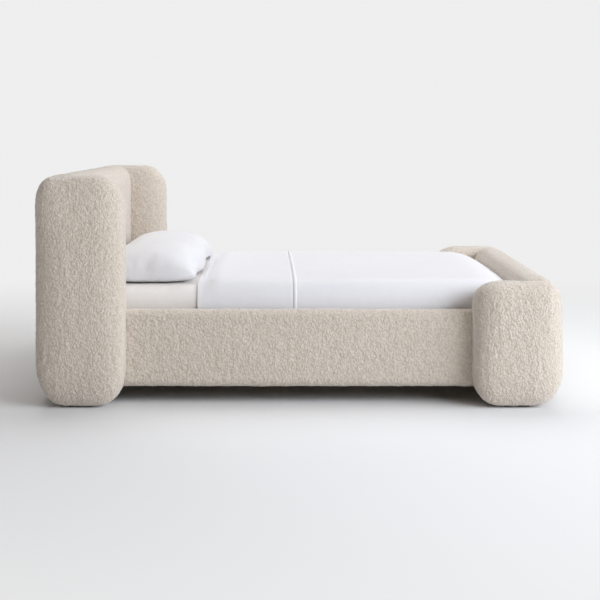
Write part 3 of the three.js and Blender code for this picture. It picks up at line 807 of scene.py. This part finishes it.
class Nodes:
    """A small helper that adds shader nodes and links them."""

    def __init__(self, name):
        self.material = bpy.data.materials.new(name)
        self.material.use_nodes = True
        self.tree = self.material.node_tree
        self.tree.nodes.clear()
        self.shader = self.add("ShaderNodeBsdfPrincipled")
        output = self.add("ShaderNodeOutputMaterial")
        self.tree.links.new(self.shader.outputs[0], output.inputs[0])
        self.coordinates = self.add("ShaderNodeTexCoord").outputs["Object"]

    def add(self, kind, **settings):
        node = self.tree.nodes.new(kind)
        for key, value in settings.items():
            setattr(node, key, value)
        return node

    def put(self, socket, value):
        if isinstance(value, bpy.types.NodeSocket):
            self.tree.links.new(value, socket)
        else:
            socket.default_value = value

    def stretched(self, scale, source=None):
        """The object's coordinates, scaled along each axis."""
        node = self.add("ShaderNodeMapping")
        self.put(node.inputs["Vector"], source or self.coordinates)
        node.inputs["Scale"].default_value = scale
        return node.outputs[0]

    def noise(self, scale, detail=2.0, rough=0.5, source=None, distortion=0.0):
        node = self.add("ShaderNodeTexNoise")
        self.put(node.inputs["Vector"], source or self.coordinates)
        node.inputs["Scale"].default_value = scale
        node.inputs["Detail"].default_value = detail
        node.inputs["Roughness"].default_value = rough
        node.inputs["Distortion"].default_value = distortion
        return node.outputs

    def math(self, operation, a, b=0.0, clamp=False):
        node = self.add("ShaderNodeMath", operation=operation, use_clamp=clamp)
        self.put(node.inputs[0], a)
        self.put(node.inputs[1], b)
        return node.outputs[0]

    def vector(self, operation, a, b):
        node = self.add("ShaderNodeVectorMath", operation=operation)
        self.put(node.inputs[0], a)
        self.put(node.inputs[1], b)
        return node.outputs[0]

    def ramp(self, factor, *stops):
        node = self.add("ShaderNodeValToRGB")
        self.put(node.inputs[0], factor)
        elements = node.color_ramp.elements
        while len(elements) < len(stops):
            elements.new(0.5)
        for element, (place, colour) in zip(elements, stops):
            element.position = place
            element.color = (*colour, 1.0)
        return node.outputs[0]

    def mix(self, factor, a, b, blend="MIX"):
        node = self.add("ShaderNodeMix", data_type="RGBA", blend_type=blend)
        self.put(node.inputs[0], factor)
        self.put(node.inputs[6], a if isinstance(a, bpy.types.NodeSocket) else (*a, 1.0))
        self.put(node.inputs[7], b if isinstance(b, bpy.types.NodeSocket) else (*b, 1.0))
        return node.outputs[2]

    def bump(self, height, distance, strength=1.0, normal=None):
        node = self.add("ShaderNodeBump")
        node.inputs["Strength"].default_value = strength
        node.inputs["Distance"].default_value = distance
        self.put(node.inputs["Height"], height)
        if normal is not None:
            self.put(node.inputs["Normal"], normal)
        return node.outputs[0]

    def finish(self, colour, roughness, normal=None, **constants):
        """Connects the shader and returns the material. Constants are the shader's inputs by name."""
        self.put(self.shader.inputs["Base Color"], colour)
        self.put(self.shader.inputs["Roughness"], roughness)
        if normal is not None:
            self.put(self.shader.inputs["Normal"], normal)
        for key, value in constants.items():
            self.shader.inputs[key.replace("_", " ")].default_value = value
        return self.material


def boucle_material():
    """Looped wool: small nubs of curled yarn, taller than wide, with painted shade in the ground between
    them and painted highlights on their tops.
    """
    n = Nodes("boucle")
    tall = n.stretched((1.0, 1.0, CURL_HEIGHT))
    stray = n.vector("SUBTRACT", n.noise(STRAY_SCALE, detail=1.0, source=tall)[1], (0.5, 0.5, 0.5))
    bent = n.vector("ADD", tall, n.vector("MULTIPLY", stray, (CURL_STRAY,) * 3))
    cells = n.add("ShaderNodeTexVoronoi", feature="SMOOTH_F1")
    n.put(cells.inputs["Vector"], bent)
    cells.inputs["Scale"].default_value = NUB_SCALE
    cells.inputs["Smoothness"].default_value = NUB_SOFTNESS
    nubs = n.math("SUBTRACT", 1.0, n.math("MULTIPLY", cells.outputs["Distance"], NUB_FALL), clamp=True)
    elsewhere = n.vector("ADD", bent, (3.1, 1.7, 5.3))
    curls = n.noise(CURL_SCALE, detail=1.0, source=elsewhere)[0]
    fuzz = n.noise(FUZZ_SCALE, rough=0.6)[0]
    height = n.math("ADD", n.math("MULTIPLY", nubs, NUB_SHARE), n.math("MULTIPLY", curls, CURL_SHARE))
    height = n.math("ADD", height, n.math("MULTIPLY", fuzz, FUZZ_SHARE))
    # The colour follows the pattern's height: painted shade in the low ground, the yarn's own tone in
    # between, painted highlight on the nub tops
    yarn = n.ramp(height, *zip(BOUCLE_STOPS, (BOUCLE_HOLLOW_SHADE, BOUCLE_MID, BOUCLE_TOP_HIGHLIGHT)))
    broad = n.noise(BROAD_SCALE)[0]
    yarn = n.mix(n.math("MULTIPLY", broad, BROAD_SHARE), yarn, BOUCLE_BROAD)
    normal = n.bump(height, CURL_RELIEF)
    return n.finish(yarn, 0.93, normal, Sheen_Weight=0.50, Sheen_Roughness=0.5, Specular_IOR_Level=0.2)


def cotton_material(name, light, dark):
    """Plain woven cotton: a fine weave, faint ironed creases and a slight sheen."""
    n = Nodes(name)
    threads = []
    for axis in ("X", "Y", "Z"):
        wave = n.add("ShaderNodeTexWave", wave_type="BANDS", bands_direction=axis, wave_profile="SIN")
        n.put(wave.inputs["Vector"], n.coordinates)
        wave.inputs["Scale"].default_value = WEAVE_SCALE
        wave.inputs["Distortion"].default_value = 0.6
        threads.append(wave.outputs[1])
    weave = n.math("MULTIPLY", n.math("ADD", n.math("ADD", threads[0], threads[1]), threads[2]), 0.33)
    soft = n.noise(9, detail=3.0, rough=0.55, source=n.stretched((1.0, 0.7, 0.7)), distortion=0.6)[0]
    fine = n.noise(48, detail=3.0, rough=0.6, distortion=0.8)[0]
    colour = n.mix(n.math("MULTIPLY", soft, 0.8), light, dark)
    colour = n.mix(n.math("MULTIPLY", weave, 0.12), colour, dark)
    creases = n.bump(n.math("ADD", soft, n.math("MULTIPLY", fine, 0.18)), LINEN_RELIEF, strength=0.35)
    normal = n.bump(weave, WEAVE_RELIEF, strength=0.25, normal=creases)
    return n.finish(colour, 0.82, normal, Sheen_Weight=0.15, Specular_IOR_Level=0.25)


def wood_material(name, light, dark, along):
    """Planed wood with its grain along one axis."""
    n = Nodes(name)
    scale = [18.0, 18.0, 18.0]
    scale["XYZ".index(along)] = 1.4
    grain_space = n.stretched(tuple(scale))
    grain = n.noise(1.6, detail=4.0, rough=0.6, source=grain_space, distortion=1.2)[0]
    rings = n.add("ShaderNodeTexWave", wave_type="BANDS", bands_direction="Z", wave_profile="SAW")
    drift = n.vector("MULTIPLY", n.noise(0.8, source=grain_space)[1], (2.0, 2.0, 2.0))
    n.put(rings.inputs["Vector"], n.vector("ADD", grain_space, drift))
    rings.inputs["Scale"].default_value = 0.8
    rings.inputs["Distortion"].default_value = 3.0
    rings.inputs["Detail"].default_value = 3.0
    mixed = n.math("ADD", n.math("MULTIPLY", grain, 0.55), n.math("MULTIPLY", rings.outputs[1], 0.45))
    colour = n.ramp(mixed, (0.2, dark), (0.8, light))
    pores = n.noise(30, rough=0.7, source=grain_space)[0]
    colour = n.mix(n.math("MULTIPLY", pores, 0.18), colour, dark)
    normal = n.bump(n.math("ADD", mixed, n.math("MULTIPLY", pores, 0.4)), distance=0.0006, strength=0.4)
    roughness = n.math("ADD", 0.45, n.math("MULTIPLY", mixed, 0.25))
    return n.finish(colour, roughness, normal, Specular_IOR_Level=0.4)


def steel_material():
    """Black powder-coated steel, slightly speckled and worn."""
    n = Nodes("black_steel")
    speckle = n.noise(900)[0]
    wear = n.noise(22, detail=4.0, rough=0.65)[0]
    colour = n.ramp(wear, (0.35, STEEL_TONES[0]), (0.75, STEEL_TONES[1]))
    roughness = n.math("ADD", 0.38, n.math("MULTIPLY", wear, 0.2))
    return n.finish(colour, roughness, n.bump(speckle, distance=0.0003, strength=0.4), Metallic=0.2)


def plastic_material():
    """Black moulded plastic with a fine grain and faint scuffs."""
    n = Nodes("black_plastic")
    grain = n.noise(700, detail=3.0)[0]
    scuffs = n.noise(60, detail=4.0, rough=0.7, source=n.stretched((1, 1, 6)))[0]
    colour = n.ramp(scuffs, (0.3, PLASTIC_TONES[0]), (0.8, PLASTIC_TONES[1]))
    roughness = n.math("ADD", 0.42, n.math("MULTIPLY", scuffs, 0.3))
    return n.finish(colour, roughness, n.bump(grain, distance=0.0002, strength=0.4))


def cambric_material():
    """The thin black nonwoven under the panels."""
    n = Nodes("cambric")
    fibres = n.noise(420, detail=3.0, rough=0.7, distortion=1.5)[0]
    colour = n.ramp(fibres, (0.3, CAMBRIC_TONES[0]), (0.7, CAMBRIC_TONES[1]))
    return n.finish(colour, 0.9, n.bump(fibres, distance=0.0004, strength=0.6))


def set_material(obj, material):
    obj.data.materials.clear()
    obj.data.materials.append(material)


# ---- stage

def make_camera():
    """The camera looks straight along +y, tipped down a little."""
    data = bpy.data.cameras.new("camera")
    camera = bpy.data.objects.new("camera", data)
    bpy.context.scene.collection.objects.link(camera)
    data.lens = LENS_MM
    data.sensor_width = SENSOR_MM
    data.shift_x = SHIFT_X
    data.shift_y = SHIFT_Y
    data.clip_end = 200
    camera.location = CAMERA_PLACE
    camera.rotation_euler = (math.pi / 2 - CAMERA_PITCH, 0, 0)
    bpy.context.scene.camera = camera


def stage_material():
    """A pale floor that turns into the plain backdrop some metres out, so no horizon shows."""
    n = Nodes("floor")
    tone = n.noise(0.8, detail=3.0)[0]
    n.finish(n.mix(tone, *FLOOR_TONES), 0.8, Specular_IOR_Level=0.1)
    glow = n.add("ShaderNodeEmission")
    glow.inputs[0].default_value = (1, 1, 1, 1)
    glow.inputs[1].default_value = BACKDROP
    far = n.add("ShaderNodeVectorMath", operation="LENGTH")
    n.put(far.inputs[0], n.coordinates)
    reach = n.add("ShaderNodeMapRange", interpolation_type="SMOOTHERSTEP")
    n.put(reach.inputs["Value"], far.outputs["Value"])
    reach.inputs["From Min"].default_value = FLOOR_END
    reach.inputs["From Max"].default_value = BACKDROP_START
    blend = n.add("ShaderNodeMixShader")
    n.put(blend.inputs[0], reach.outputs[0])
    n.tree.links.new(n.shader.outputs[0], blend.inputs[1])
    n.tree.links.new(glow.outputs[0], blend.inputs[2])
    output = next(node for node in n.tree.nodes if node.bl_idname == "ShaderNodeOutputMaterial")
    n.tree.links.new(blend.outputs[0], output.inputs[0])
    return n.material


def map_range(tree, value, span, to_span):
    """A node that carries a value from one span to another."""
    node = tree.nodes.new("ShaderNodeMapRange")
    tree.links.new(value, node.inputs["Value"])
    node.inputs["From Min"].default_value, node.inputs["From Max"].default_value = span
    node.inputs["To Min"].default_value, node.inputs["To Max"].default_value = to_span
    return node.outputs[0]


def make_world():
    """Light from overhead that fades towards the horizon, behind a plain backdrop."""
    world = bpy.data.worlds.new("studio")
    world.use_nodes = True
    tree = world.node_tree
    tree.nodes.clear()
    link = tree.links.new
    direction = tree.nodes.new("ShaderNodeTexCoord").outputs["Generated"]
    split = tree.nodes.new("ShaderNodeSeparateXYZ")
    link(direction, split.inputs[0])
    both = tree.nodes.new("ShaderNodeMath")
    both.operation = "MULTIPLY"
    link(map_range(tree, split.outputs[2], (0.0, 1.0), (SKY_LOW, SKY_HIGH)), both.inputs[0])
    link(map_range(tree, split.outputs[0], (-1.0, SKY_TURN), (1.0 - SKY_LEFT, 1.0)), both.inputs[1])
    light = tree.nodes.new("ShaderNodeBackground")
    light.inputs[0].default_value = (*SKY_COLOUR, 1)
    link(both.outputs[0], light.inputs[1])
    backdrop = tree.nodes.new("ShaderNodeBackground")
    backdrop.inputs[0].default_value = (1, 1, 1, 1)
    backdrop.inputs[1].default_value = BACKDROP
    seen = tree.nodes.new("ShaderNodeLightPath").outputs["Is Camera Ray"]
    pick = tree.nodes.new("ShaderNodeMixShader")
    link(seen, pick.inputs[0])
    link(light.outputs[0], pick.inputs[1])
    link(backdrop.outputs[0], pick.inputs[2])
    link(pick.outputs[0], tree.nodes.new("ShaderNodeOutputWorld").inputs[0])
    bpy.context.scene.world = world


def area_light(name, place, aim, size, power, colour):
    """A soft box that faces the point `aim`."""
    lamp = bpy.data.lights.new(name, "AREA")
    lamp.shape = "RECTANGLE"
    lamp.size, lamp.size_y = size
    lamp.energy = power
    lamp.color = colour
    light = bpy.data.objects.new(name, lamp)
    light.location = place
    light.rotation_euler = (Vector(place) - Vector(aim)).to_track_quat("Z", "Y").to_euler()
    bpy.context.scene.collection.objects.link(light)


def make_stage():
    """The floor, the world and the soft boxes."""
    corners = [(FLOOR_HALF * x, FLOOR_HALF * y, 0) for x, y in ((-1, -1), (1, -1), (1, 1), (-1, 1))]
    floor = make_object("studio_floor", corners, [(0, 1, 2, 3)], False)
    set_material(floor, stage_material())
    make_world()
    for soft_box in SOFT_BOXES:
        area_light(*soft_box)
    bpy.context.scene.view_settings.view_transform = "Standard"


# ---- build

def place(obj, body, node, slot, material, fill=None):
    """Hands a finished piece to the frame, in place of its CAD node."""
    set_material(obj, material)
    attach(obj, body)
    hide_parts(node)


def build_covers():
    """The boucle covers. Each has its own seed, so no two have the same nubs."""
    boucle = boucle_material()
    seed = 100
    wings = {}
    for end in ("headboard", "footboard"):
        for side in ("left", "right"):
            node = f"{end}_{side}_wing_cover"
            wings[end, side] = cover_wing(node, seed)
            place(wings[end, side], "bed_frame", node, "boucle", boucle, COVER_FILL)
            seed += 20
        node = f"{end}_panel_cover"
        place(cover_panel(node, seed), "bed_frame", node, "boucle", boucle, COVER_FILL)
        seed += 20
    for side in ("left", "right"):
        node = f"{side}_rail_cover"
        rail = cover_rail(node, seed)
        meet_wing(rail, wings["headboard", side], -1.0)
        meet_wing(rail, wings["footboard", side], 1.0)
        place(rail, "bed_frame", node, "boucle", boucle, COVER_FILL)
        seed += 20


def build_bedding():
    """The mattress with its fitted sheet, the duvet with its cuff, and the pillows."""
    linens = {name: cotton_material(name, *tones) for name, tones in LINENS.items()}
    bedding = Bedding()
    body = "mattress_and_bedding"
    place(make_mattress(bedding), body, "mattress", "ticking", linens["ticking"], MATTRESS_FILL)
    fitted = make_fitted_sheet(bedding)
    place(fitted, body, "fitted_sheet", "fitted_sheet", linens["fitted_sheet"])
    quilt = Quilt(bedding)
    place(make_duvet(bedding, quilt), body, "duvet", "bed_linen", linens["bed_linen"], DUVET_FILL)
    cuff = make_cuff(bedding, quilt)
    place(cuff, body, "top_sheet_cuff", "bed_linen", linens["bed_linen"])
    for node, *habits in PILLOWS:
        pillow = make_pillow(node, *habits)
        place(pillow, node, node, "pillowcase", linens["pillowcase"], PILLOW_STUFFING)


def finish_cad_parts():
    """Gives the wood, steel, plastic and cambric parts their materials."""
    finishes = {
        "slat": wood_material("slat_wood", *WOODS["slat_wood"]),
        "timber": wood_material("timber", *WOODS["timber"]),
        "plywood": wood_material("plywood", *WOODS["plywood"]),
        "black_steel": steel_material(),
        "black_plastic": plastic_material(),
        "cambric": cambric_material(),
    }
    for part in frame["record"]["subparts"]:
        finish = finishes.get(part["material_slot"])
        if finish:
            set_material(frame["nodes"][part["node"]], finish)


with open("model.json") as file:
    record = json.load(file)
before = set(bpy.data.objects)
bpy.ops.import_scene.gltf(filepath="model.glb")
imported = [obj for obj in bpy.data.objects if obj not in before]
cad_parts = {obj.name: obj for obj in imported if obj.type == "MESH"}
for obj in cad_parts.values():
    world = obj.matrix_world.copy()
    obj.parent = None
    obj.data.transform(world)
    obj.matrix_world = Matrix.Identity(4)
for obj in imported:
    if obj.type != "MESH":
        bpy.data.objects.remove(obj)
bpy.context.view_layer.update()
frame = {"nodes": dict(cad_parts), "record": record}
make_camera()
make_stage()
build_covers()
build_bedding()
finish_cad_parts()
